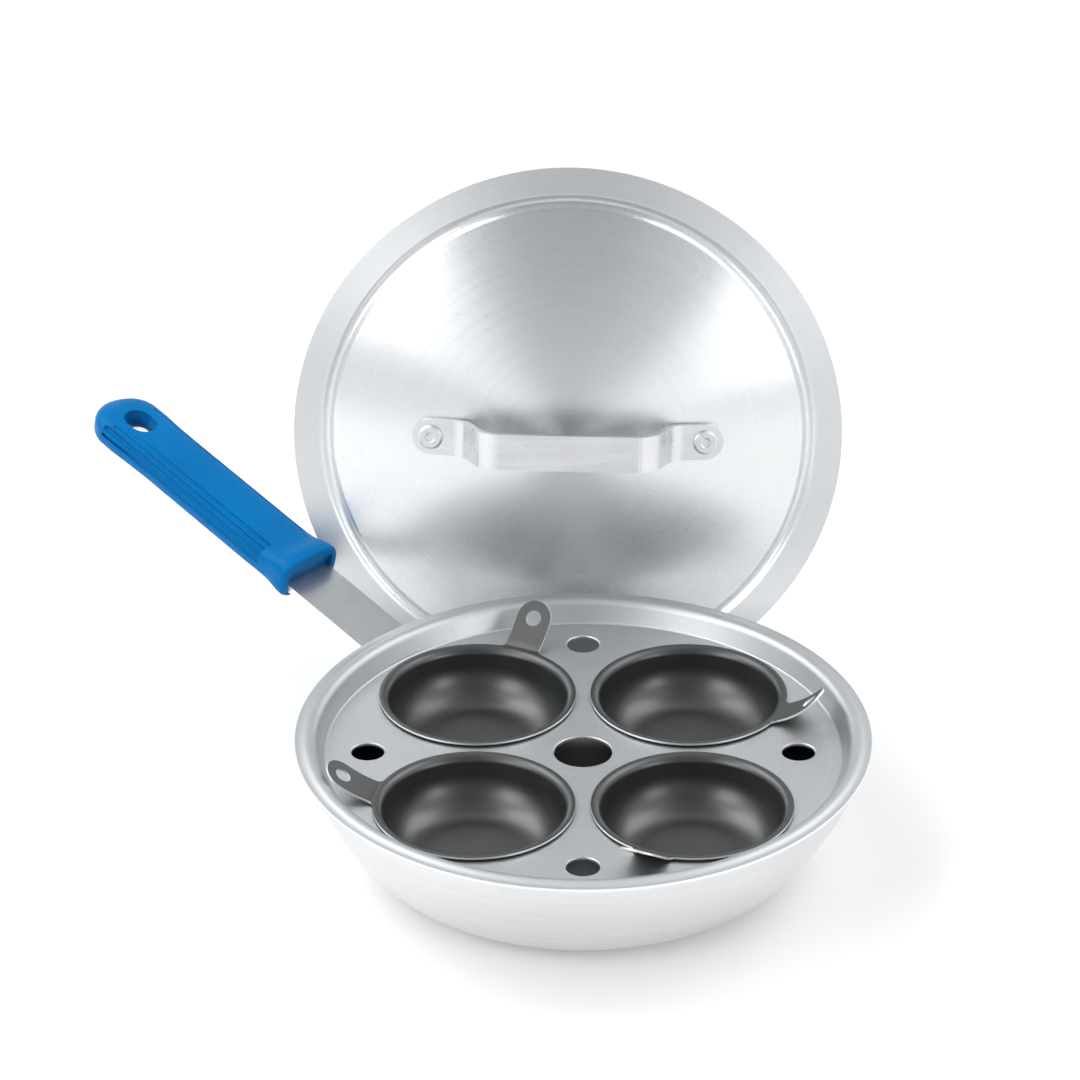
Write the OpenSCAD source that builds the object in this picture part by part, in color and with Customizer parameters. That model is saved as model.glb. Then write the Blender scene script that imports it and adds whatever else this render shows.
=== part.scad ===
// Four-cup egg poacher pan, in millimetres, +Z up.
// The origin is the centre of the pan's base. The lid stands on its edge behind the pan, along +Y.

/* [Cups] */
// Outer radius of a cup's lip
cup_r = 37.5; // [35:0.5:40]
// Space between the lips of neighbouring cups
cup_gap = 5.6; // [4:0.1:10]
// Depth of a cup, from lip to outer floor
cup_depth = 21; // [17:0.5:26]
// Sheet thickness of a cup
cup_sheet = 0.8; // [0.6:0.1:1.2]
// Width of the flat lip
cup_lip_w = 0.8; // [0.6:0.1:2]
// Radius of the bend under the lip
cup_lip_bend = 2.3; // [1.4:0.1:2.6]
// Height of the lip's underside above the plate
cup_stand = 0.95; // [0.6:0.05:1.3]
// Slope of a cup's wall
cup_slope = 84; // [80:0.5:86]
// Radius of the corner between floor and wall
cup_corner_r = 15.5; // [8:0.5:18]

/* [Cup tabs] */
// Width of the finger tab
tab_w = 14; // [12:0.2:16]
// Length of the tab past its crease
tab_len = 20.5; // [18:0.5:23]
// Radius of the hole in the tab
tab_hole_r = 3.1; // [2:0.1:4]
// Radius of the fillets at the tab's root
tab_fillet = 2.8; // [1.5:0.1:3.4]
// Radius of the crease at the tab's root
tab_crease_r = 3; // [2:0.1:4]
// Length of the stiffening rib
rib_len = 8; // [5:0.5:9]
// Height of the stiffening rib at the crease
rib_h = 0.8; // [0.5:0.1:1.2]

/* [Insert plate] */
// Sheet thickness of the insert
insert_sheet = 1.2; // [0.8:0.1:1.8]
// Width of the flat ring between the cups and the slanted wall
plate_margin = 2.5; // [1.6:0.1:6]
// Depth of the plate below the flange
insert_drop = 7.4; // [6:0.2:10]
// Distance that the slanted wall leans outwards
drop_run = 3.6; // [2.6:0.1:5]
// Width of the flange
flange_w = 7.4; // [6:0.1:9]
// Radius of the bend between plate and wall
plate_bend = 1; // [0.6:0.1:1.6]
// Radius of the bend between wall and flange
flange_bend = 3.4; // [2.4:0.1:3.6]
// Height of the flange's crown above its outer edge
flange_crown = 0.9; // [0.4:0.1:1.1]
// Radius of the centre hole
centre_hole_r = 11; // [8:0.5:12]
// Radius of the four steam holes
steam_hole_r = 6.25; // [4:0.25:8]
// Distance of the steam holes from the centre
steam_circle_r = 80.8; // [76:0.2:84]
// Width of the rounded-off upper edge of the holes
hole_edge = 0.4; // [0.2:0.05:0.6]

/* [Pan] */
// Distance that the side reaches out past the flat base
side_run = 43; // [40:0.5:46]
// Radius of the corner between base and wall
corner_r = 30; // [20:1:34]
// Angle that this corner turns through
corner_turn = 52; // [48:1:56]
// Slope of the wall at the rim
rim_slope = 70; // [66:1:76]
// Height of the rim
pan_h = 47.6; // [46:0.2:60]
// Sheet thickness of the pan
pan_wall = 2.6; // [1.8:0.1:3.4]
// Distance that the flange reaches past the rim
flange_over = 1; // [0.4:0.1:1.6]

/* [Handle] */
// Direction of the handle, from +X towards +Y
handle_az = 135; // [134:0.5:138]
// Slope of the handle
handle_rise = 14.2; // [12:0.1:15]
// Distance from the rim down to the bar's top face, at the rim
handle_drop = 1.7; // [1.4:0.1:4]
// Width of the bar
bar_w = 22.2; // [18:0.2:23]
// Thickness of the bar and its foot
bar_t = 3.2; // [2.4:0.1:4]
// Distance from the pan's rim to the grip's mouth, along the bar
bar_show = 45.8; // [43:0.2:60]
// Length of the grip
grip_len = 123.1; // [112:0.1:140]
// Width of the grip
grip_w = 27; // [26:0.2:29]
// Thickness of silicone over the bar
grip_top = 7.2; // [5:0.1:8]
// Thickness of silicone under the bar
grip_under = 2.8; // [2.4:0.1:5]
// Height of the mouth's pocket over the bar
mouth_h = 6.4; // [4:0.1:7]
// Distance from the grip's end to the hanging hole
hang_back = 19.8; // [17:0.2:24]
// Radius of the hanging hole through the bar
hang_r = 4.5; // [3:0.1:5]
// Width of the oval opening in the grip
hang_oval_w = 11; // [10.4:0.2:13]
// Length of the oval opening in the grip
hang_oval_len = 14.5; // [13:0.5:17]
// Radius of the grooves along the grip
groove_r = 1; // [0.5:0.1:1.2]

/* [Handle foot] */
// Step on each side where the bar meets its foot
foot_inset = 0.12; // [0.1:0.02:0.3]
// Width of the foot
foot_w = 34; // [30:1:40]
// Wall slope at the foot's upper edge
foot_top_slope = 66; // [65:0.5:67]
// Wall slope at the foot's lower edge
foot_low_slope = 54.5; // [54:0.5:56]
// Wall slope at the two upper rivets
rivet_top_slope = 61.8; // [60:0.2:62.4]
// Wall slope at the lower rivet
rivet_low_slope = 57.4; // [57:0.2:58.4]
// Distance of the upper rivets from the foot's middle line
rivet_spread = 9.5; // [8:0.1:11]
// Radius of the foot rivets' shanks
rivet_r = 2.4; // [1.8:0.1:2.8]
// Radius of the foot rivets' heads
rivet_head_r = 4.6; // [3.8:0.1:5]

/* [Lid] */
// Distance that the lid's edge reaches past the insert's flange
lid_over = -0.8; // [-1:0.1:2]
// Sheet thickness of the lid
lid_sheet = 1.2; // [0.8:0.1:1.6]
// Width of the lid's flat flange
lid_flange_w = 10.9; // [10.5:0.1:14]
// Width of the locating bead
bead_w = 5; // [4.2:0.2:7]
// Depth of the bead below the flange
bead_depth = 2.4; // [1.6:0.1:3.4]
// Height of the dome above the flange
dome_h = 14; // [11:0.5:17]
// Height of the dome's foot above the flange
dome_foot = 0.8; // [0.4:0.1:1.6]
// Angle that the lid leans back from upright
lid_lean = 11.7; // [6:0.1:14]
// Turn of the lid in its own plane
lid_turn = -1.2; // [-5:0.1:5]
// Sideways place of the lid
lid_x = -6; // [-10:0.5:10]
// Distance from the insert's edge back to the lid's centre
lid_space = 25.5; // [22:0.5:45]

/* [Lid handle] */
// Width of the strap
strap_w = 14.2; // [12:0.2:18]
// Thickness of the strap
strap_t = 2.3; // [1.8:0.1:3]
// Distance from a rivet to the strap's end
strap_end = 7.3; // [6:0.1:8]
// Width of the strap's raised bridge, between its bend corners
bridge_len = 63; // [54:1:68]
// Distance that each leg leans outwards
leg_run = 8; // [6:0.5:10]
// Height of the bridge above the dome's crown, underneath
bridge_rise = 16; // [13:0.5:20]
// Radius of the strap's bends
strap_bend = 9; // [6:0.5:9.5]
// Distance between the two lid rivets
lid_rivet_pitch = 106; // [103:0.2:108]
// Radius of the lid rivets' heads
lid_rivet_head_r = 4.8; // [4:0.1:5.4]
// Radius of the lid rivets' shanks
lid_rivet_r = 2.4; // [1.8:0.1:2.8]
// Distance of the strap above the lid's centre
strap_up = 1.7; // [0:0.1:3]
// Radius of the shallow dimple in each head
dimple_r = 2; // [1:0.1:2.4]

/* [Clearances] */
// Gap between a cup's shoulder and its seat
seat_gap = 0.3; // [0.2:0.05:0.5]
// Gap round a rivet's shank, and between pieces of one assembly
fit_gap = 0.05; // [0.03:0.01:0.1]

/* [Hidden] */
$fn = 72;
far = 400;

// Cups and insert: the plate is as wide as the ring of cups needs, and the pan as wide as the insert
cup_at = cup_r + cup_gap / 2;
plate_r = cup_at * sqrt(2) + cup_r + plate_margin;
flange_r = plate_r + drop_run + flange_w;
rim_r = flange_r - flange_over;
base_r = rim_r - side_run;
flange_z = pan_h + insert_sheet;
plate_z = flange_z - insert_drop;
lip_z = plate_z + cup_stand + cup_sheet;
bend_in = cup_lip_bend + cup_sheet;
neck_r = cup_r - cup_lip_w - sqrt(pow(cup_lip_bend, 2) - pow(cup_lip_bend - cup_stand, 2));
seat_r = neck_r + seat_gap;

// Direction of each cup's tab, the angle of its crease and the angle of its curl
tab_back_left = [64, 31, 24];
tab_back_right = [-22, 26, 25];
tab_front_left = [167, 18, 22];
tab_front_right = [-114, 33.5, 2];

function unit(v) = v / norm(v);
function left(v) = [-v[1], v[0]];
function dir(a) = [cos(a), sin(a)];
function xy(p) = [p[0], p[1]];
function turned(v, a) = [v[0] * cos(a) - v[1] * sin(a), v[0] * sin(a) + v[1] * cos(a)];
function reversed(p) = [for (i = [len(p) - 1:-1:0]) p[i]];
function mirrored(p) = [for (q = p) [-q[0], q[1], q[2]]];

// Arc of radius r in the corner b of the line from a over b to c
function corner_arc(a, b, c, r, steps) =
    let (u = unit(a - b), w = unit(c - b), half = acos(u * w) / 2)
    let (centre = b + unit(u + w) * r / sin(half))
    let (start = b + u * r / tan(half) - centre)
    let (turn = sign(cross(b - a, c - b)) * (180 - 2 * half))
    [for (i = [0:steps]) centre + turned(start, turn * i / steps)];

// Line over the points [x, y, radius], with each corner rounded to its radius
function rounded(p, steps = 8) = [
    for (i = [0:len(p) - 1])
        each i == 0 || i == len(p) - 1 || p[i][2] == 0 ? [xy(p[i])]
            : corner_arc(xy(p[i - 1]), xy(p[i]), xy(p[i + 1]), p[i][2], steps)
];

// The same line moved sideways by d, to its left where d is positive
function shifted(p, d) = [
    for (i = [0:len(p) - 1])
        let (j = max(i, 1), k = min(i, len(p) - 2))
        let (a = left(unit(p[j] - p[j - 1])), b = left(unit(p[k + 1] - p[k])))
        let (m = unit(a + b))
        p[i] + m * d / (m * a)
];

// Section through a sheet of thickness t that lies on one side of the line
module sheet(p, t) {
    polygon(concat(p, reversed(shifted(p, t))));
}

// The same section turned about the Z axis
module spun_sheet(p, t) {
    rotate_extrude() intersection() {
        sheet(p, t);
        translate([0, -far]) square([far, 2 * far]);
    }
}

// Corners of a bowl from its axis to the point q: flat base, corner, then a wall of slopes a to b.
// The spare length below q is left to the next bend.
function bowl(base, corner, a, b, q, spare = 0) =
    let (t = corner * tan(a / 2), v = [base + t, 0])
    let (s = cross(q - v, dir(b)) / cross(dir(a), dir(b)))
    let (w = v + s * dir(a))
    let (room = 0.98 * min(norm(q - w) - spare, s - t))
    [[0, 0, 0], [v[0], 0, corner], [w[0], w[1], room / tan((b - a) / 2)], [q[0], q[1], 0]];

pan_corners = bowl(base_r, corner_r, corner_turn, rim_slope, [rim_r, pan_h]);
pan_line = concat(rounded(pan_corners, 12), [[rim_r, pan_h] + 4 * dir(rim_slope)]);

// Centre and radius of the arc that the pan's wall follows
wall_arc_r = pan_corners[2][2];
wall_arc_c = xy(pan_corners[2]) - dir(corner_turn) * wall_arc_r * tan((rim_slope - corner_turn) / 2)
    + left(dir(corner_turn)) * wall_arc_r;

// Point at a distance out of the wall's outer face, where the wall has the given slope
function off_wall(slope, out) = wall_arc_c + (wall_arc_r + out) * [sin(slope), -cos(slope)];

module rivet_place(slope, sideways) {
    p = off_wall(slope, 0);
    rotate([0, 0, handle_az + asin(sideways / p[0])])
        translate([p[0], 0, p[1]])
            rotate([0, 180 - slope, 0])
                children();
}

module rivet_bore() {
    cylinder(r = rivet_r + fit_gap, h = 30, center = true);
}

module each_tang_rivet() {
    rivet_place(rivet_top_slope, -rivet_spread) children();
    rivet_place(rivet_top_slope, rivet_spread) children();
    rivet_place(rivet_low_slope, 0) children();
}

module pan_body() {
    color("silver") difference() {
        rotate_extrude() intersection() {
            sheet(pan_line, pan_wall);
            square([far, pan_h]);
        }
        each_tang_rivet() rivet_bore();
    }
}

insert_line = rounded([
    [0, plate_z, 0],
    [plate_r, plate_z, plate_bend],
    [plate_r + drop_run, flange_z + flange_crown / 5, min(flange_bend, 0.46 * flange_w)],
    [flange_r - 0.6 * flange_w, flange_z + flange_crown, flange_w / 2],
    [flange_r - 0.24 * flange_w, flange_z, 0.8 * flange_w],
    [flange_r, flange_z, 0]
]);

module plate_hole(r) {
    cylinder(r = r, h = far, center = true);
    translate([0, 0, plate_z - hole_edge]) cylinder(r1 = r, r2 = r + 2 * hole_edge, h = 2 * hole_edge);
}

module insert_plate() {
    color("lightgray") difference() {
        spun_sheet(insert_line, -insert_sheet);
        plate_hole(centre_hole_r);
        for (a = [0:90:270]) {
            rotate([0, 0, a]) translate([steam_circle_r, 0, 0]) plate_hole(steam_hole_r);
            rotate([0, 0, a]) translate([cup_at, cup_at, 0])
                cylinder(r = seat_r, h = far, center = true);
        }
    }
}

// Inner face of a cup from the middle of its floor to the edge of its lip, with the lip at z = 0
lip_bend_run = bend_in * tan(cup_slope / 2);
cup_wall_top = cup_r - cup_lip_w - lip_bend_run;
cup_line = rounded([
    [0, cup_sheet - cup_depth, 0],
    [cup_wall_top - (cup_depth - cup_sheet) / tan(cup_slope), cup_sheet - cup_depth, cup_corner_r - cup_sheet],
    [cup_wall_top, 0, bend_in],
    [cup_r, 0, 0]
], 10);

// Tab along +X, with the lip's top at z = 0: it creases at the lip's edge, then curls
module tab(crease, curl) {
    half_len = tab_len / 2;
    crease_at = [cup_r + 0.3 * cup_sheet, 0];
    curl_at = crease_at + half_len * dir(crease);
    tip = curl_at + half_len * dir(crease + curl);
    end_c = tip - tab_w / 2 * dir(crease + curl);
    root_y = tab_w / 2 + tab_fillet;
    fillet_x = sqrt(pow(cup_r, 2) - pow(root_y, 2)) + tab_fillet;
    line = rounded([
        [cup_r / 2, 0, 0],
        [crease_at[0], crease_at[1], tab_crease_r],
        [curl_at[0], curl_at[1], 0.8 * half_len / tan(curl / 2)],
        [tip[0], tip[1], 0]
    ], 6);
    difference() {
        intersection() {
            rotate([90, 0, 0]) linear_extrude(height = 3 * tab_w, center = true) sheet(line, -cup_sheet);
            translate([0, 0, -far / 2]) linear_extrude(height = far) tab_plan(root_y, fillet_x);
            translate([end_c[0], 0, end_c[1]]) rotate([0, -crease - curl, 0]) union() {
                cylinder(r = tab_w / 2, h = tab_w, center = true);
                translate([-far, -far / 2, -far / 2]) cube([far, far, far]);
            }
        }
        translate([end_c[0], 0, end_c[1]]) rotate([0, -crease - curl, 0])
            cylinder(r = tab_hole_r, h = tab_w, center = true);
    }
    // Pressed rib that tapers to a point up the tab
    rib_r = 7 * rib_h;
    translate([crease_at[0], 0, crease_at[1]]) rotate([0, -crease, 0]) intersection() {
        translate([0, 0, rib_h - rib_r]) rotate([0, 90 - atan((rib_r - rib_h) / rib_len), 0])
            cylinder(r1 = rib_r, r2 = 0, h = norm([rib_len, rib_r - rib_h]));
        translate([0.6, -tab_w, -cup_sheet / 2]) cube([tab_w * 2, tab_w * 2, tab_w]);
    }
}

// Outline of the tab from above, with a fillet at each side of its root
module tab_plan(root_y, fillet_x) {
    difference() {
        translate([0, -root_y]) square([fillet_x, 2 * root_y]);
        circle(r = cup_r - cup_lip_w);
        for (side = [-1, 1])
            translate([fillet_x, side * root_y]) circle(r = tab_fillet);
    }
    translate([fillet_x - tab_fillet / 4, -tab_w / 2]) square([tab_len + tab_w, tab_w]);
}

module cup(x_side, y_side, setting) {
    color("dimgray") translate([x_side * cup_at, y_side * cup_at, lip_z]) {
        spun_sheet(cup_line, -cup_sheet);
        rotate([0, 0, setting[0]]) tab(setting[1], setting[2]);
    }
}

module cup_back_left() {
    cup(-1, 1, tab_back_left);
}

module cup_back_right() {
    cup(1, 1, tab_back_right);
}

module cup_front_left() {
    cup(-1, -1, tab_front_left);
}

module cup_front_right() {
    cup(1, -1, tab_front_right);
}

// Lid in its own frame: z = 0 is the flange's upper face and the dome rises along +Z
lid_r = flange_r + lid_over;
lid_back = flange_r + lid_space;
bead_out_r = lid_r - lid_flange_w;
bead_mid_r = bead_out_r - bead_w / 2;
dome_r = bead_out_r - bead_w;
dome_arc_r = (pow(dome_r, 2) + pow(dome_h - dome_foot, 2)) / (2 * (dome_h - dome_foot));
dome_edge = 2.4;
function dome_at(x) = dome_h - dome_arc_r + sqrt(pow(dome_arc_r, 2) - x * x);
function dome_tilt(x) = asin(x / dome_arc_r);
lid_line = concat(
    [for (i = [0:23]) let (a = asin((dome_r - dome_edge - 1) / dome_arc_r) * i / 23)
        [dome_arc_r * sin(a), dome_h - dome_arc_r * (1 - cos(a))]],
    rounded([
        [dome_r - dome_edge, dome_at(dome_r - dome_edge), 0],
        [dome_r, dome_foot, 2],
        [bead_mid_r, -bead_depth, 1.4],
        [bead_out_r, 0, 1.6],
        [lid_r, 0, 0]
    ], 5)
);

module lid_place() {
    translate([lid_x, lid_back, lid_r * cos(lid_lean) + lid_sheet * sin(lid_lean)])
        rotate([90 - lid_lean, 0, 0])
            rotate([0, 0, lid_turn])
                children();
}

// Places its children on the dome's face under a lid rivet, square to the face
module lid_rivet_place(side) {
    x = lid_rivet_pitch / 2;
    translate([side * x, strap_up, dome_at(norm([x, strap_up]))]) rotate([0, side * dome_tilt(x), 0]) children();
}

module lid_cover() {
    color("silver") lid_place() difference() {
        spun_sheet(lid_line, -lid_sheet);
        for (side = [-1, 1])
            lid_rivet_place(side) cylinder(r = lid_rivet_r + fit_gap, h = 12, center = true);
    }
}

module lid_handle() {
    strap_len = lid_rivet_pitch + 2 * strap_end;
    x = lid_rivet_pitch / 2;
    tilt = dome_tilt(x);
    foot_z = dome_at(norm([x, strap_up])) + fit_gap + strap_up * strap_w / dome_arc_r;
    leg_x = bridge_len / 2 + leg_run;
    half = [
        [strap_len / 2 + 2, foot_z - (strap_len / 2 + 2 - x) * tan(tilt), 0],
        [leg_x, foot_z + (x - leg_x) * tan(tilt), strap_bend],
        [bridge_len / 2, dome_h + bridge_rise, strap_bend]
    ];
    round_r = strap_w / 2;
    color("lightgray") lid_place() difference() {
        translate([0, strap_up, 0]) intersection() {
            rotate([90, 0, 0]) linear_extrude(height = strap_w, center = true)
                sheet(rounded(concat(half, reversed(mirrored(half)))), -strap_t);
            union() {
                cube([strap_len - strap_w, far, far], center = true);
                for (side = [-1, 1])
                    translate([side * (strap_len / 2 - round_r), 0, foot_z]) rotate([0, side * tilt, 0])
                        cylinder(r = round_r, h = 20, center = true);
            }
        }
        for (side = [-1, 1])
            lid_rivet_place(side) cylinder(r = lid_rivet_r + fit_gap, h = 30, center = true);
    }
}

// Rivet with a dimpled flat head on the strap and an upset tail inside the cover
module lid_rivet(side) {
    head_t = 0.9;
    tail_t = 1.1;
    head_z = strap_t + 2 * fit_gap + strap_up * strap_w / dome_arc_r;
    tail_z = -lid_sheet - fit_gap - pow(lid_rivet_head_r, 2) / dome_arc_r;
    color("white") lid_place() lid_rivet_place(side) rotate_extrude() polygon(concat(
        [[0, tail_z - tail_t], [lid_rivet_head_r - 1.2, tail_z - tail_t], [lid_rivet_head_r - 0.8, tail_z - 0.4],
            [lid_rivet_head_r - 0.8, tail_z], [lid_rivet_r, tail_z], [lid_rivet_r, head_z],
            [lid_rivet_head_r, head_z], [lid_rivet_head_r, head_z + head_t - 0.5],
            [lid_rivet_head_r - 0.8, head_z + head_t]],
        [[dimple_r, head_z + head_t], [dimple_r - 0.4, head_z + head_t - 0.15], [0, head_z + head_t - 0.2]]
    ));
}

module lid_rivet_left() {
    lid_rivet(-1);
}

module lid_rivet_right() {
    lid_rivet(1);
}

// Handle in the plane of its length: x runs out along the bar, z = 0 is the bar's top face
bar_z = pan_h - handle_drop;
grip_end = bar_show + grip_len;
hang_x = grip_end - hang_back;
bar_end = hang_x + 10;

module handle_place() {
    rotate([0, 0, handle_az])
        translate([rim_r, 0, bar_z])
            rotate([0, -handle_rise, 0])
                children();
}

// Foot, knee and a stub that the bar encloses, all turned about the pan's axis
foot_t = bar_t - 2 * foot_inset;
bar_from = 0.6;

module foot_and_knee() {
    out = dir(handle_rise);
    top = [rim_r, bar_z] - foot_inset * left(out);
    wall_p = off_wall(foot_top_slope, fit_gap);
    wall_d = dir(foot_top_slope);
    knee = wall_p + wall_d * cross(top - wall_p, out) / cross(wall_d, out);
    outer = top + (bar_from + bar_w / 2) * out;
    bend = rounded([[outer[0], outer[1], 0], [knee[0], knee[1], 4], [wall_p[0], wall_p[1], 0]]);
    wall = [for (i = [1:10]) off_wall(foot_top_slope + (foot_low_slope - foot_top_slope) * i / 10, fit_gap)];
    rotate([0, 0, handle_az]) intersection() {
        rotate([0, 0, -20]) rotate_extrude(angle = 40) sheet(concat(bend, wall), foot_t);
        rotate([90, 0, 90]) linear_extrude(height = far) foot_outline();
    }
}

// Shield shape of the foot and its neck, seen from outside the pan
module foot_outline() {
    neck = bar_w / 2 - foot_inset;
    low_z = off_wall(foot_low_slope, foot_t)[1] - 0.5;
    mid_z = off_wall(rivet_top_slope, foot_t)[1] - 5;
    top_z = off_wall(foot_top_slope, foot_t)[1] - 0.5;
    polygon(rounded([
        [0, far, 0],
        [neck, far, 0],
        [neck, top_z, 2],
        [foot_w / 2, top_z, 4],
        [foot_w / 2, mid_z, 8],
        [9, low_z, 7],
        [-9, low_z, 7],
        [-foot_w / 2, mid_z, 8],
        [-foot_w / 2, top_z, 4],
        [-neck, top_z, 2],
        [-neck, far, 0],
        [-0.1, far, 0]
    ], 6));
}

module handle_tang() {
    end_c = bar_end - bar_w / 2;
    color("silver") difference() {
        union() {
            foot_and_knee();
            handle_place() translate([0, 0, -bar_t]) {
                translate([end_c, 0, 0]) cylinder(r = bar_w / 2, h = bar_t);
                translate([bar_from, -bar_w / 2, 0]) cube([end_c - bar_from, bar_w, bar_t]);
            }
        }
        each_tang_rivet() rivet_bore();
        handle_place() translate([hang_x, 0, 0]) cylinder(r = hang_r, h = 40, center = true);
    }
}

// Rivet with a domed head on the foot and a flat head inside the pan
module tang_rivet(slope, sideways) {
    head_h = 2;
    head_z = foot_t + 2 * fit_gap;
    inner_z = -pan_wall - fit_gap - pow(rivet_head_r, 2) / rim_r;
    dome = (pow(rivet_head_r, 2) + pow(head_h, 2)) / (2 * head_h);
    dome_a = asin(rivet_head_r / dome);
    color("white") rivet_place(slope, sideways)
        rotate_extrude() polygon(concat(
            [[0, inner_z - 1.2], [rivet_head_r - 0.8, inner_z - 1.2], [rivet_head_r - 0.2, inner_z - 0.6],
                [rivet_head_r - 0.2, inner_z], [rivet_r, inner_z], [rivet_r, head_z]],
            [for (i = [0:8]) let (a = dome_a * (8 - i) / 8)
                [dome * sin(a), head_z + head_h - dome * (1 - cos(a))]]
        ));
}

module tang_rivet_left() {
    tang_rivet(rivet_top_slope, rivet_spread);
}

module tang_rivet_right() {
    tang_rivet(rivet_top_slope, -rivet_spread);
}

module tang_rivet_lower() {
    tang_rivet(rivet_low_slope, 0);
}

// Rings of the grip: place along the bar, half width, lowest and highest point
grip_low = -bar_t - grip_under;
grip_rings = [
    [bar_show, grip_w / 2 - 0.1, grip_low - 0.4, grip_top + 2.2],
    [bar_show + 0.5, grip_w / 2 + 0.5, grip_low - 1, grip_top + 2.8],
    [bar_show + 1.5, grip_w / 2 + 0.9, grip_low - 1.4, grip_top + 3.1],
    [bar_show + 4, grip_w / 2 + 0.9, grip_low - 1.3, grip_top + 3],
    [bar_show + 6.5, grip_w / 2 + 0.7, grip_low - 0.7, grip_top + 2.4],
    [bar_show + 9, grip_w / 2 + 0.3, grip_low - 0.2, grip_top + 1.5],
    [bar_show + 12, grip_w / 2, grip_low, grip_top + 0.7],
    [bar_show + 16, grip_w / 2 - 0.1, grip_low, grip_top + 0.3],
    [bar_show + 24, grip_w / 2, grip_low, grip_top],
    [hang_x - 20, grip_w / 2, grip_low, grip_top - 0.2],
    [hang_x - 8, grip_w / 2 + 0.4, grip_low, grip_top - 0.4],
    [hang_x, grip_w / 2 + 0.9, grip_low, grip_top - 0.6]
];
end_r = grip_w / 2 + 1;
grip_end_rings = [
    for (a = [10:10:80])
        [grip_end - end_r * (1 - sin(a)), end_r * cos(a), grip_low + 3 * pow(sin(a), 3),
            grip_top - 0.6 - 4 * pow(sin(a), 3)]
];

// Point of the grip's section at the angle a: a rectangle with well-rounded corners
ring_sides = 48;
squareness = 0.6;
function bulged(v) = sign(v) * pow(abs(v), squareness);
function grip_point(half, low, high, a) =
    [half * bulged(cos(a)), (low + high) / 2 + (high - low) / 2 * bulged(sin(a))];
function grip_ring(g) = [
    for (i = [0:ring_sides - 1])
        let (p = grip_point(g[1], g[2], g[3], 360 * (i + 0.5) / ring_sides))
        [g[0], p[0], p[1]]
];

module lofted(rings) {
    n = len(rings);
    m = ring_sides;
    side = [for (r = [0:n - 2], i = [0:m - 1]) let (j = (i + 1) % m)
        each [[r * m + i, (r + 1) * m + i, r * m + j], [r * m + j, (r + 1) * m + i, (r + 1) * m + j]]];
    caps = [[for (i = [0:m - 1]) i], [for (i = [m - 1:-1:0]) (n - 1) * m + i]];
    polyhedron([for (r = rings) each grip_ring(r)], concat(side, caps), convexity = 4);
}

// Groove along the grip at the angle a of its section
module grip_groove(a, from, to) {
    p = grip_point(grip_w / 2, grip_low, grip_top, a);
    translate([from, p[0], p[1]]) rotate([0, 90, 0]) cylinder(r = groove_r, h = to - from, $fn = 16);
    for (x = [from, to])
        translate([x, p[0], p[1]]) sphere(r = groove_r, $fn = 16);
}

module handle_grip() {
    slot_y = bar_w / 2 + fit_gap;
    color("royalblue") handle_place() difference() {
        lofted(concat(grip_rings, grip_end_rings));
        // Slot that takes the bar
        translate([bar_end - bar_w / 2, 0, -bar_t - fit_gap]) cylinder(r = slot_y, h = bar_t + 2 * fit_gap);
        translate([bar_show - 1, -slot_y, -bar_t - fit_gap])
            cube([bar_end - bar_w / 2 - bar_show + 1, 2 * slot_y, bar_t + 2 * fit_gap]);
        // Pocket over the bar in the mouth
        rotate([90, 0, 0]) linear_extrude(height = 2 * slot_y, center = true) polygon([
            [bar_show - 1, -1], [bar_show - 1, mouth_h], [bar_show + 0.8, mouth_h], [bar_show + 2.6, 0],
            [bar_show + 2.6, -1]
        ]);
        // Oval opening round the hanging hole
        for (end = [-1, 1])
            translate([hang_x + end * (hang_oval_len - hang_oval_w) / 2, 0, 0])
                cylinder(r = hang_oval_w / 2, h = 60, center = true);
        cube_len = hang_oval_len - hang_oval_w;
        translate([hang_x - cube_len / 2, -hang_oval_w / 2, -30]) cube([cube_len, hang_oval_w, 60]);
        // Grooves over one shoulder and along both sides
        grip_groove(66, bar_show + 17, hang_x - 2);
        for (a = [46, 134])
            grip_groove(a, bar_show + 17, hang_x + 3);
        for (a = [25, 3, 155, 177])
            grip_groove(a, bar_show + 17, hang_x + 6);
    }
}

pan_body();
insert_plate();
cup_back_left();
cup_back_right();
cup_front_left();
cup_front_right();
lid_cover();
lid_handle();
lid_rivet_left();
lid_rivet_right();
handle_tang();
tang_rivet_left();
tang_rivet_right();
tang_rivet_lower();
handle_grip();
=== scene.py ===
"""Egg poacher pan: looks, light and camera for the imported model."""
import math

import bpy
from mathutils import Matrix, Vector

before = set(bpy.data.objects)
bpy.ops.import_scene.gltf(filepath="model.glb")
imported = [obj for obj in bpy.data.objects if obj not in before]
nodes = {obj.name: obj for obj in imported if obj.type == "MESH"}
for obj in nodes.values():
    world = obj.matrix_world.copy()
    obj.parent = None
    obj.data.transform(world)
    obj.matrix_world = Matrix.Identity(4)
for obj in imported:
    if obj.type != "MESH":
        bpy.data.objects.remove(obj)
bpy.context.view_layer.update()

MM = 0.001
UP, RIGHT = (0, 0, 1), (1, 0, 0)

# Each cup as in the solids: its centre in mm, and its tab's direction and mean slope in degrees
CUPS = {
    "cup_back_left": (-40.3, 40.3, 64, 43),
    "cup_back_right": (40.3, 40.3, -22, 38),
    "cup_front_left": (-40.3, -40.3, 167, 29),
    "cup_front_right": (40.3, -40.3, -114, 34.5),
}
CUP_R = 37.5 * MM

# A cup's face inside: the centre of its corner arc (distance and height), the least drop and the top radius
BOWL_ARC_AT = 18.55 * MM
BOWL_ARC_Z = 37.65 * MM
BOWL_WALL_DROP = 1.54 * MM
BOWL_TOP_R = 33.6 * MM

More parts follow.
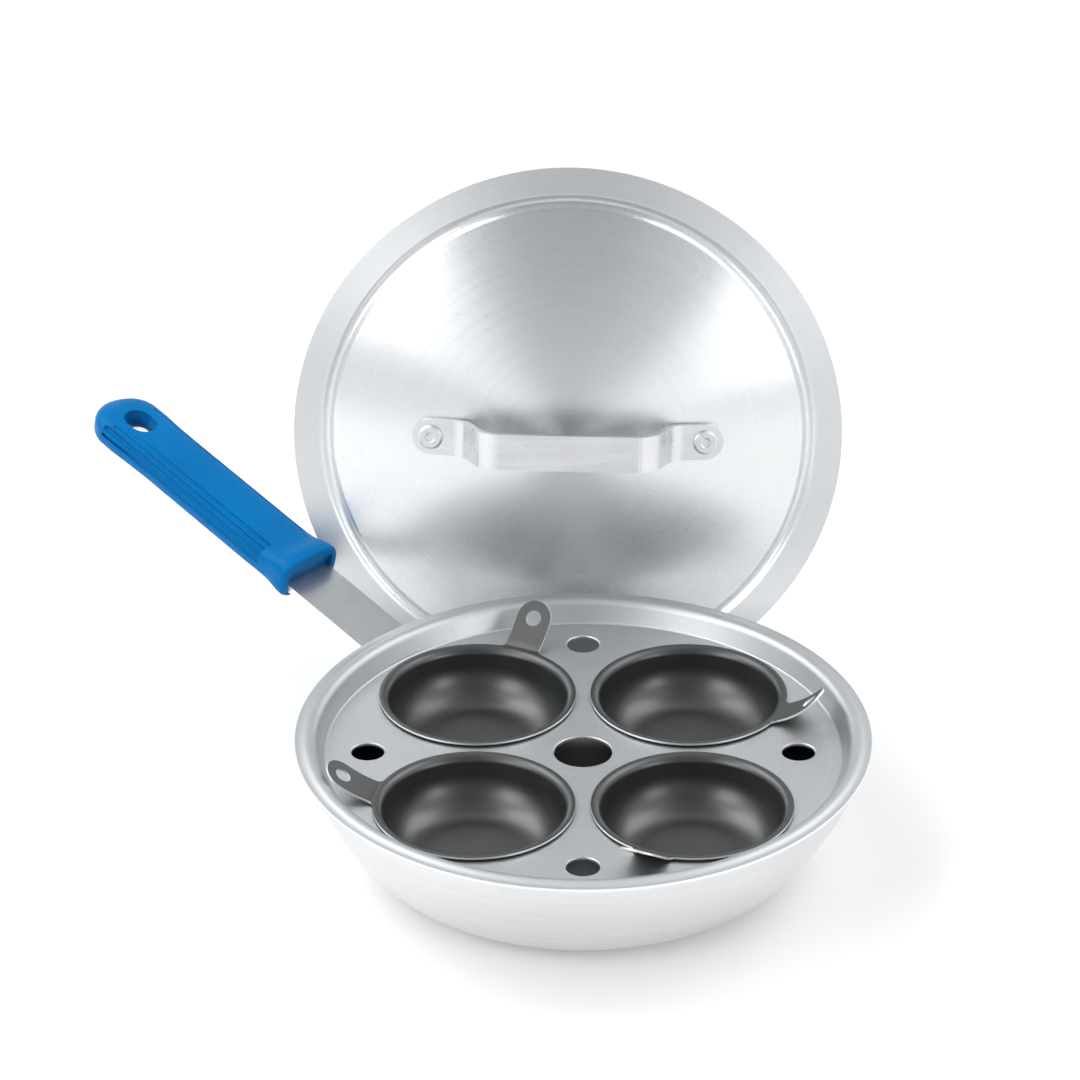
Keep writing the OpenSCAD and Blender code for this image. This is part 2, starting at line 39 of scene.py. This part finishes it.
# The lid: its centre and axis, the depth of the dome's centre below the flange, how far the dome reaches
# from the axis, and where the flange starts
LID_CENTRE = Vector((-6.0, 133.5, 105.2)) * MM
LID_LEAN = math.radians(11.7)
LID_AXIS = Vector((0, -math.cos(LID_LEAN), math.sin(LID_LEAN)))
DOME_DEPTH = 308.3 * MM
DOME_REACH = 88.2 * MM
LID_RIM = 96.0 * MM

# The handle's bar: its direction and rise, and the way its broad face looks
HANDLE_AZ = math.radians(135)
HANDLE_RISE = math.radians(14.2)
BAR_TOP = (-math.cos(HANDLE_AZ) * math.sin(HANDLE_RISE), -math.sin(HANDLE_AZ) * math.sin(HANDLE_RISE),
           math.cos(HANDLE_RISE))

# The part of a noise's range that the materials use, for soft and for crisp marks
SOFT = (0.3, 0.7)
CRISP = (0.35, 0.65)

# Spun metal: rings per metre across and along the axis, and blotches
RINGS_ACROSS = 900.0
RINGS_ALONG = 500.0
BLOTCHES = 16.0
# Lean from the rings in degrees, and how often the marks repeat along and across
STREAKS = (52.0, 7.0, 60.0)
CROSS_STREAKS = (-38.0, 9.0, 75.0)
HAIRS = (64.0, 12.0, 260.0)
# Distance that keeps the marks finite at the axis
AXIS_GAP = 4 * MM


class Nodes:
    """Small helper that builds a node tree."""

    def __init__(self, tree):
        self.tree = tree

    def add(self, kind, **settings):
        node = self.tree.nodes.new(kind)
        for key, value in settings.items():
            setattr(node, key, value)
        return node

    def link(self, source, target):
        self.tree.links.new(source, target)

    def feed(self, socket, value):
        if isinstance(value, bpy.types.NodeSocket):
            self.link(value, socket)
        else:
            socket.default_value = value

    def math(self, operation, a, b=0.0):
        node = self.add("ShaderNodeMath", operation=operation)
        self.feed(node.inputs[0], a)
        self.feed(node.inputs[1], b)
        return node.outputs[0]

    def vector(self, operation, a, b=(0, 0, 0)):
        node = self.add("ShaderNodeVectorMath", operation=operation)
        self.feed(node.inputs[0], a)
        if operation == "SCALE":
            self.feed(node.inputs["Scale"], b)
        elif operation not in ("LENGTH", "NORMALIZE"):
            self.feed(node.inputs[1], b)
        return node.outputs["Value"] if operation in ("LENGTH", "DOT_PRODUCT") else node.outputs[0]

    def combine(self, x, y, z):
        node = self.add("ShaderNodeCombineXYZ")
        for socket, value in zip(node.inputs, (x, y, z)):
            self.feed(socket, value)
        return node.outputs[0]

    def noise(self, vector, scale, detail=2.0, rough=0.5):
        node = self.add("ShaderNodeTexNoise")
        self.feed(node.inputs["Vector"], vector)
        node.inputs["Scale"].default_value = scale
        node.inputs["Detail"].default_value = detail
        node.inputs["Roughness"].default_value = rough
        return node.outputs[0]

    def ramp(self, value, low, high, to_low=0.0, to_high=1.0):
        node = self.add("ShaderNodeMapRange")
        self.feed(node.inputs["Value"], value)
        node.inputs["From Min"].default_value = low
        node.inputs["From Max"].default_value = high
        node.inputs["To Min"].default_value = to_low
        node.inputs["To Max"].default_value = to_high
        return node.outputs[0]

    def mix_colour(self, factor, a, b):
        node = self.add("ShaderNodeMix", data_type="RGBA")
        self.feed(node.inputs[0], factor)
        self.feed(node.inputs[6], a)
        self.feed(node.inputs[7], b)
        return node.outputs[2]

    def mix_shader(self, factor, a, b):
        node = self.add("ShaderNodeMixShader")
        for socket, value in zip(node.inputs, (factor, a, b)):
            self.link(value, socket)
        return node.outputs[0]

    def bump(self, height, strength, distance, normal=None):
        node = self.add("ShaderNodeBump")
        node.inputs["Strength"].default_value = strength
        node.inputs["Distance"].default_value = distance
        self.link(height, node.inputs["Height"])
        if normal is not None:
            self.link(normal, node.inputs["Normal"])
        return node.outputs[0]

    def place(self):
        return self.add("ShaderNodeTexCoord").outputs["Object"]

    def normal(self):
        return self.add("ShaderNodeNewGeometry").outputs["Normal"]

    def true_normal(self):
        return self.add("ShaderNodeNewGeometry").outputs["True Normal"]

    def rays(self):
        """One for a camera ray, and one for a glossy or transmission ray."""
        path = self.add("ShaderNodeLightPath").outputs
        return path["Is Camera Ray"], self.math("MAXIMUM", path["Is Glossy Ray"], path["Is Transmission Ray"])


def material(name):
    mat = bpy.data.materials.new(name)
    mat.use_nodes = True
    tree = mat.node_tree
    shader = tree.nodes["Principled BSDF"]
    return mat, Nodes(tree), shader


def ring_coordinates(n, centre, axis, first):
    """Offset from an axis, the distance from it, angle round it, direction of turning and height along it."""
    axis = Vector(axis)
    first = Vector(first)
    second = axis.cross(first)
    offset = n.vector("SUBTRACT", n.place(), tuple(Vector(centre)))
    x = n.vector("DOT_PRODUCT", offset, tuple(first))
    y = n.vector("DOT_PRODUCT", offset, tuple(second))
    distance = n.math("SQRT", n.math("ADD", n.math("MULTIPLY", x, x), n.math("MULTIPLY", y, y)))
    angle = n.math("ARCTAN2", y, x)
    tangent = n.vector("NORMALIZE", n.vector("CROSS_PRODUCT", tuple(axis), offset))
    height = n.vector("DOT_PRODUCT", offset, tuple(axis))
    return offset, distance, angle, tangent, height


def swirl(n, distance, angle, marks):
    """Noise in short streaks that lean away from the rings. Each lean has its own noise."""
    lean, along, across = marks
    depth = n.math("LOGARITHM", n.math("ADD", distance, AXIS_GAP), math.e)
    c, s = math.cos(math.radians(lean)), math.sin(math.radians(lean))
    u = n.math("ADD", n.math("MULTIPLY", angle, c), n.math("MULTIPLY", depth, s))
    v = n.math("SUBTRACT", n.math("MULTIPLY", depth, c), n.math("MULTIPLY", angle, s))
    streaks = n.combine(n.math("MULTIPLY", u, along), n.math("MULTIPLY", v, across), lean)
    return n.noise(streaks, 1.0, 3.0, 0.6)


def blend_normals(n, mesh, smooth, share):
    """The mesh's own normal, and the smooth one where share is one."""
    keep = n.vector("SCALE", mesh, n.math("SUBTRACT", 1.0, share))
    return n.vector("NORMALIZE", n.vector("ADD", keep, n.vector("SCALE", smooth, share)))


def dome_normal(n, offset, distance):
    """Normal of the lid: the dome's faces as one smooth sphere, and the mesh's own normal elsewhere."""
    mesh = n.normal()
    smooth = n.vector("NORMALIZE", n.vector("ADD", offset, tuple(LID_AXIS * DOME_DEPTH)))
    facing = n.vector("DOT_PRODUCT", mesh, smooth)
    on_dome = n.ramp(n.math("ABSOLUTE", facing), 0.985, 0.995)
    on_dome = n.math("MULTIPLY", on_dome, n.ramp(distance, DOME_REACH + 0.3 * MM, DOME_REACH))
    smooth = n.vector("SCALE", smooth, n.math("SIGN", facing))
    return blend_normals(n, mesh, smooth, on_dome)


def bowl_normal(n, offset, distance, height):
    """Normal of a cup: floor inside, corner arc and wall as one smooth curve, and the mesh's own elsewhere.
    """
    mesh = n.normal()
    reach = n.math("MAXIMUM", n.math("SUBTRACT", distance, BOWL_ARC_AT), 0.0)
    drop = n.math("MAXIMUM", n.math("SUBTRACT", BOWL_ARC_Z, height), BOWL_WALL_DROP)
    outward = n.vector("NORMALIZE", n.vector("MULTIPLY", offset, (1, 1, 0)))
    inward = n.vector("SCALE", outward, n.math("MULTIPLY", reach, -1.0))
    smooth = n.vector("NORMALIZE", n.vector("ADD", inward, n.combine(0.0, 0.0, drop)))
    inside = n.ramp(n.vector("DOT_PRODUCT", mesh, smooth), 0.975, 0.985)
    inside = n.math("MULTIPLY", inside, n.ramp(distance, BOWL_TOP_R + 0.3 * MM, BOWL_TOP_R))
    return blend_normals(n, mesh, smooth, inside)


def spun_metal(name, centre, axis, first, colour, rough, anisotropy, ring=0.06, bump=0.05, cloud=0.05,
               stray=0.0, broken=1.5, hair=0.0, painted_inner_shade=None, edge=None, rim=None, curve=None):
    """Spun or turned metal: fine rings round an axis, with soft blotches and a few scratches.

    ring, cloud and hair are the depths of the rings, blotches and hairlines, and broken says how much
    the rings change round the axis. stray turns the gloss aside. painted_inner_shade is painted shade: it
    darkens the faces that look at the centre, standing in for the shade inside a hollow. edge colours the
    faces that stand along the axis, rim is where a rougher band starts, and curve gives smooth normals.
    """
    mat, n, shader = material(name)
    offset, distance, angle, tangent, height = ring_coordinates(n, centre, axis, first)
    turn_y = n.math("MULTIPLY", n.math("SINE", angle), broken)
    turn_x = n.math("MULTIPLY", n.math("COSINE", angle), broken)
    turns = n.combine(n.math("MULTIPLY", distance, RINGS_ACROSS), turn_y,
                      n.math("ADD", turn_x, n.math("MULTIPLY", height, RINGS_ALONG)))
    rings = n.noise(turns, 1.0, 3.0, 0.6)
    broad = n.noise(n.place(), BLOTCHES, 3.0, 0.5)
    streaks = swirl(n, distance, angle, STREAKS)
    cross = swirl(n, distance, angle, CROSS_STREAKS)
    hairs = swirl(n, distance, angle, HAIRS)

    # shade carries the rings, blotches and streaks, and where asked also painted shade on the faces that look
    # at the axis
    shade = n.math("ADD", n.ramp(rings, *SOFT, 1.0 - ring, 1.0), n.ramp(broad, *SOFT, -cloud, 0.0))
    shade = n.math("ADD", shade, n.ramp(streaks, *CRISP, -0.015, 0.0))
    # Painted shade: faces that look at the axis are darkened, standing in for the shade inside the pan
    if painted_inner_shade is not None:
        facing = n.vector("DOT_PRODUCT", n.true_normal(), offset)
        shade = n.math("MULTIPLY", shade, n.ramp(facing, 0.0, -4 * MM, 1.0, painted_inner_shade))
    tone = n.mix_colour(shade, (0, 0, 0, 1), colour)
    if edge is not None:
        upright = n.math("ABSOLUTE", n.vector("DOT_PRODUCT", n.true_normal(), tuple(Vector(axis))))
        tone = n.mix_colour(n.ramp(upright, 0.3, 0.2), tone, edge)
    n.link(tone, shader.inputs["Base Color"])

    shader.inputs["Metallic"].default_value = 1.0
    rough_value = n.math("ADD", n.ramp(rings, *SOFT, rough - 0.012, rough + 0.012),
                         n.ramp(hairs, *CRISP, -hair, hair))
    if rim is not None:
        rough_value = n.math("ADD", rough_value, n.ramp(distance, rim, rim + 1.5 * MM, 0.0, 0.22))
    n.link(rough_value, shader.inputs["Roughness"])

    # Gloss spreads across the rings, and stray scratches turn it aside
    shader.inputs["Anisotropic"].default_value = anisotropy
    normal = curve(n, offset, distance) if curve else n.normal()
    spread = n.vector("CROSS_PRODUCT", normal, tangent)
    bend = n.math("MULTIPLY", n.math("SUBTRACT", n.math("ADD", streaks, cross), 1.0), stray)
    spread = n.vector("NORMALIZE", n.vector("ADD", spread, n.vector("SCALE", tangent, bend)))
    n.link(spread, shader.inputs["Tangent"])

    relief = n.math("ADD", rings, n.math("MULTIPLY", streaks, 0.5))
    relief = n.math("ADD", relief, n.math("MULTIPLY", hairs, hair * 12.0))
    n.link(n.bump(relief, bump, 0.05 * MM, normal), shader.inputs["Normal"])
    return mat


def satin_metal(name, colour, rough, grain=(40.0, 40.0, 40.0), depth=0.04, face=None, edge=None):
    """Rolled or tumbled metal with a fine directional grain, and sheared edges beside the given face."""
    mat, n, shader = material(name)
    lines = n.noise(n.vector("MULTIPLY", n.place(), grain), 10.0, 3.0, 0.6)
    broad = n.noise(n.place(), 30.0, 2.0)
    dark = tuple(c * 0.9 for c in colour[:3]) + (1.0,)
    tone = n.mix_colour(n.ramp(broad, *CRISP), dark, colour)
    if face is not None:
        along = n.math("ABSOLUTE", n.vector("DOT_PRODUCT", n.true_normal(), face))
        tone = n.mix_colour(n.ramp(along, 0.6, 0.4), tone, edge)
    n.link(tone, shader.inputs["Base Color"])
    shader.inputs["Metallic"].default_value = 1.0
    n.link(n.ramp(lines, *SOFT, rough - 0.05, rough + 0.05), shader.inputs["Roughness"])
    n.link(n.bump(lines, depth, 0.05 * MM), shader.inputs["Normal"])
    return mat


def nonstick(name, centre, azimuth, slope):
    """Dark coating with a fine orange peel, rougher on floor and tab, and bare metal on the sheared edges."""
    mat, n, shader = material(name)
    offset, distance, _, _, height = ring_coordinates(n, centre, UP, RIGHT)
    normal = n.true_normal()
    peel = n.noise(n.place(), 2500.0, 1.0)
    broad = n.noise(n.place(), 60.0, 2.0)
    coat = n.mix_colour(n.ramp(broad, *SOFT), (0.011, 0.013, 0.014, 1), (0.016, 0.019, 0.020, 1))

    # Sheared edges are the faces beside the tab's broad face, and the upright ring outside the lip
    tab_face = (math.cos(azimuth) * math.sin(slope), math.sin(azimuth) * math.sin(slope), -math.cos(slope))
    across_tab = n.math("ABSOLUTE", n.vector("DOT_PRODUCT", normal, tab_face))
    upright = n.math("ABSOLUTE", n.vector("DOT_PRODUCT", normal, UP))
    past_lip = n.ramp(distance, CUP_R + 0.5 * MM, CUP_R + 0.8 * MM)
    at_lip = n.ramp(distance, CUP_R - 0.12 * MM, CUP_R - 0.05 * MM)
    tab_edge = n.math("MULTIPLY", n.ramp(across_tab, 0.62, 0.5), past_lip)
    lip_edge = n.math("MULTIPLY", n.ramp(upright, 0.5, 0.3), at_lip)
    edge = n.math("MAXIMUM", tab_edge, lip_edge)
    n.link(n.mix_colour(edge, coat, (0.80, 0.80, 0.79, 1)), shader.inputs["Base Color"])
    n.link(edge, shader.inputs["Metallic"])

    tab_rough = n.ramp(distance, CUP_R + 1 * MM, CUP_R + 3 * MM, 0.0, 0.2)
    floor_rough = n.ramp(distance, 12 * MM, 22 * MM, 0.26, 0.0)
    rough = n.math("ADD", n.ramp(broad, *SOFT, 0.31, 0.36), tab_rough)
    n.link(n.math("ADD", rough, floor_rough), shader.inputs["Roughness"])
    shader.inputs["Specular IOR Level"].default_value = 1.0
    smooth = bowl_normal(n, offset, distance, height)
    n.link(n.bump(peel, 0.08, 0.03 * MM, smooth), shader.inputs["Normal"])
    return mat


def silicone(name):
    """Blue moulded silicone with a very fine matt grain."""
    mat, n, shader = material(name)
    fine = n.noise(n.place(), 1800.0, 2.0)
    broad = n.noise(n.place(), 45.0, 2.0)
    n.link(n.mix_colour(n.ramp(broad, *SOFT), (0.0, 0.130, 0.365, 1), (0.0, 0.152, 0.415, 1)),
           shader.inputs["Base Color"])
    n.link(n.ramp(fine, *SOFT, 0.24, 0.30), shader.inputs["Roughness"])
    shader.inputs["Specular IOR Level"].default_value = 0.06
    n.link(n.bump(fine, 0.12, 0.04 * MM), shader.inputs["Normal"])
    return mat


def dress(node, mat):
    data = nodes[node].data
    data.materials.clear()
    data.materials.append(mat)
    for polygon in data.polygons:
        polygon.material_index = 0


# The pan's metal, with painted shade that darkens its faces looking at the axis to 0.58 of their colour
dress("pan_body", spun_metal("spun_pan_and_painted_shade", (0, 0, 60 * MM), UP, RIGHT, (0.84, 0.85, 0.86, 1), 0.32, 0.5,
                             painted_inner_shade=0.58))
dress("insert_plate", spun_metal("brushed_insert", (0, 0, 0), UP, RIGHT, (0.54, 0.555, 0.565, 1), 0.47, 0.1,
                                 stray=0.3, hair=0.04, edge=(0.85, 0.86, 0.87, 1)))
dress("lid_cover", spun_metal("spun_lid", LID_CENTRE, LID_AXIS, RIGHT, (0.83, 0.845, 0.855, 1), 0.30, 0.85,
                              ring=0.03, bump=0.004, cloud=0.03, stray=0.2, broken=0.5, hair=0.028,
                              rim=LID_RIM, curve=dome_normal))
dress("lid_handle", satin_metal("satin_strap", (0.75, 0.76, 0.775, 1), 0.3, (2.0, 40.0, 40.0), depth=0.015))
dress("handle_tang", satin_metal("satin_bar", (0.55, 0.565, 0.58, 1), 0.40, (30.0, 30.0, 30.0),
                                 face=BAR_TOP, edge=(0.92, 0.92, 0.92, 1)))
dress("handle_grip", silicone("blue_silicone"))
rivet_metal = satin_metal("satin_rivet", (0.76, 0.77, 0.78, 1), 0.42)
for rivet in ("lid_rivet_left", "lid_rivet_right", "tang_rivet_left", "tang_rivet_right", "tang_rivet_lower"):
    dress(rivet, rivet_metal)
for cup, (x, y, azimuth, slope) in CUPS.items():
    dress(cup, nonstick("coating_" + cup, (x * MM, y * MM, 0), math.radians(azimuth), math.radians(slope)))


def plane(name, size, z):
    mesh = bpy.data.meshes.new(name)
    s = size / 2
    mesh.from_pydata([(-s, -s, z), (s, -s, z), (s, s, z), (-s, s, z)], [], [(0, 1, 2, 3)])
    obj = bpy.data.objects.new(name, mesh)
    bpy.context.scene.collection.objects.link(obj)
    return obj


def pale_floor(name):
    """Plain pale floor. What the camera and reflections see of it keeps the shadow and whitens far away."""
    mat, n, shader = material(name)
    shader.inputs["Base Color"].default_value = (0.93, 0.93, 0.93, 1)
    shader.inputs["Roughness"].default_value = 0.9
    shader.inputs["Specular IOR Level"].default_value = 0.1
    soft = n.add("ShaderNodeBsdfDiffuse")
    soft.inputs["Color"].default_value = (0.85, 0.85, 0.85, 1)
    glow = n.add("ShaderNodeEmission")
    n.link(n.ramp(n.vector("LENGTH", n.place()), 0.6, 1.9, 0.12, 0.56), glow.inputs["Strength"])
    both = n.add("ShaderNodeAddShader")
    n.link(soft.outputs[0], both.inputs[0])
    n.link(glow.outputs[0], both.inputs[1])
    to_camera, reflected = n.rays()
    surface = n.mix_shader(n.math("MAXIMUM", to_camera, reflected), shader.outputs[0], both.outputs[0])
    n.link(surface, mat.node_tree.nodes["Material Output"].inputs["Surface"])
    return mat


def studio_world(name):
    """Plain even light, white to the camera. Reflections see it dimmer high in front and overhead."""
    world = bpy.data.worlds.new(name)
    world.use_nodes = True
    tree = world.node_tree
    n = Nodes(tree)
    even = tree.nodes["Background"]
    even.inputs["Color"].default_value = (0.95, 0.96, 0.97, 1)
    even.inputs["Strength"].default_value = 0.55
    mirrored = n.add("ShaderNodeBackground")
    mirrored.inputs["Color"].default_value = (0.96, 0.98, 1.0, 1)
    way = n.add("ShaderNodeTexCoord").outputs["Generated"]
    in_front = n.ramp(n.vector("DOT_PRODUCT", way, (0.0, -0.85, 0.53)), 0.78, 0.96, 0.88, 0.43)
    overhead = n.ramp(n.vector("DOT_PRODUCT", way, (0.0, -0.26, 0.966)), 0.80, 0.94, 1.0, 0.55)
    n.link(n.math("MULTIPLY", in_front, overhead), mirrored.inputs["Strength"])
    white = n.add("ShaderNodeBackground")
    white.inputs["Color"].default_value = (1, 1, 1, 1)
    to_camera, reflected = n.rays()
    unseen = n.mix_shader(reflected, even.outputs[0], mirrored.outputs[0])
    surface = n.mix_shader(to_camera, unseen, white.outputs[0])
    n.link(surface, tree.nodes["World Output"].inputs["Surface"])
    return world


floor = plane("floor", 60, -0.2 * MM)
floor.data.materials.append(pale_floor("white_floor"))
bpy.context.scene.world = studio_world("studio")


def area(name, place, target, size, power):
    light = bpy.data.lights.new(name, "AREA")
    light.shape = "RECTANGLE"
    light.size, light.size_y = size
    light.energy = power
    obj = bpy.data.objects.new(name, light)
    obj.location = place
    obj.rotation_euler = (Vector(target) - Vector(place)).to_track_quat("-Z", "Y").to_euler()
    bpy.context.scene.collection.objects.link(obj)


# Soft lamps: place, what each looks at, width and height in metres, and power in watts
area("left", (-1.15, -0.95, 0.95), (0, 0.05, 0.08), (0.8, 0.9), 7.2)
area("right", (1.15, -1.0, 0.6), (0, 0.05, 0.08), (0.55, 0.7), 4)
area("top_left", (-0.95, -0.2, 1.1), (0, 0.05, 0.05), (1.0, 1.1), 4.5)
area("top_right", (0.95, -0.25, 1.1), (0, 0.05, 0.05), (1.0, 1.1), 2)
area("back_left", (-0.85, 0.5, 1.15), (0, 0.0, 0.05), (0.9, 0.9), 8.5)
area("back_right", (0.85, 0.5, 1.15), (0, 0.0, 0.05), (0.9, 0.9), 6.5)

# Camera at the photograph's viewing angle: place in mm, angles in radians, focal length and width in pixels
CAMERA_BACK, CAMERA_HEIGHT = 1762.5, 1102.19
YAW, PITCH, ROLL = -0.0090, 0.5032, -0.0040
FOCAL, IMAGE_WIDTH = 5478.19, 1080
SENSOR_WIDTH = 36.0

forward = Vector((math.sin(YAW) * math.cos(PITCH), math.cos(YAW) * math.cos(PITCH), -math.sin(PITCH)))
level_right = Vector((math.cos(YAW), -math.sin(YAW), 0))
level_up = level_right.cross(forward)
right = math.cos(ROLL) * level_right + math.sin(ROLL) * level_up
up = math.cos(ROLL) * level_up - math.sin(ROLL) * level_right

lens = bpy.data.cameras.new("camera")
lens.sensor_fit = "HORIZONTAL"
lens.sensor_width = SENSOR_WIDTH
lens.lens = FOCAL / IMAGE_WIDTH * SENSOR_WIDTH
lens.clip_start = 0.05
lens.clip_end = 100
camera = bpy.data.objects.new("camera", lens)
rotation = Matrix((right, up, -forward)).transposed()
camera.matrix_world = Matrix.Translation(Vector((0, -CAMERA_BACK, CAMERA_HEIGHT)) * MM) @ rotation.to_4x4()
bpy.context.scene.collection.objects.link(camera)
bpy.context.scene.camera = camera

bpy.context.scene.view_settings.view_transform = "Standard"
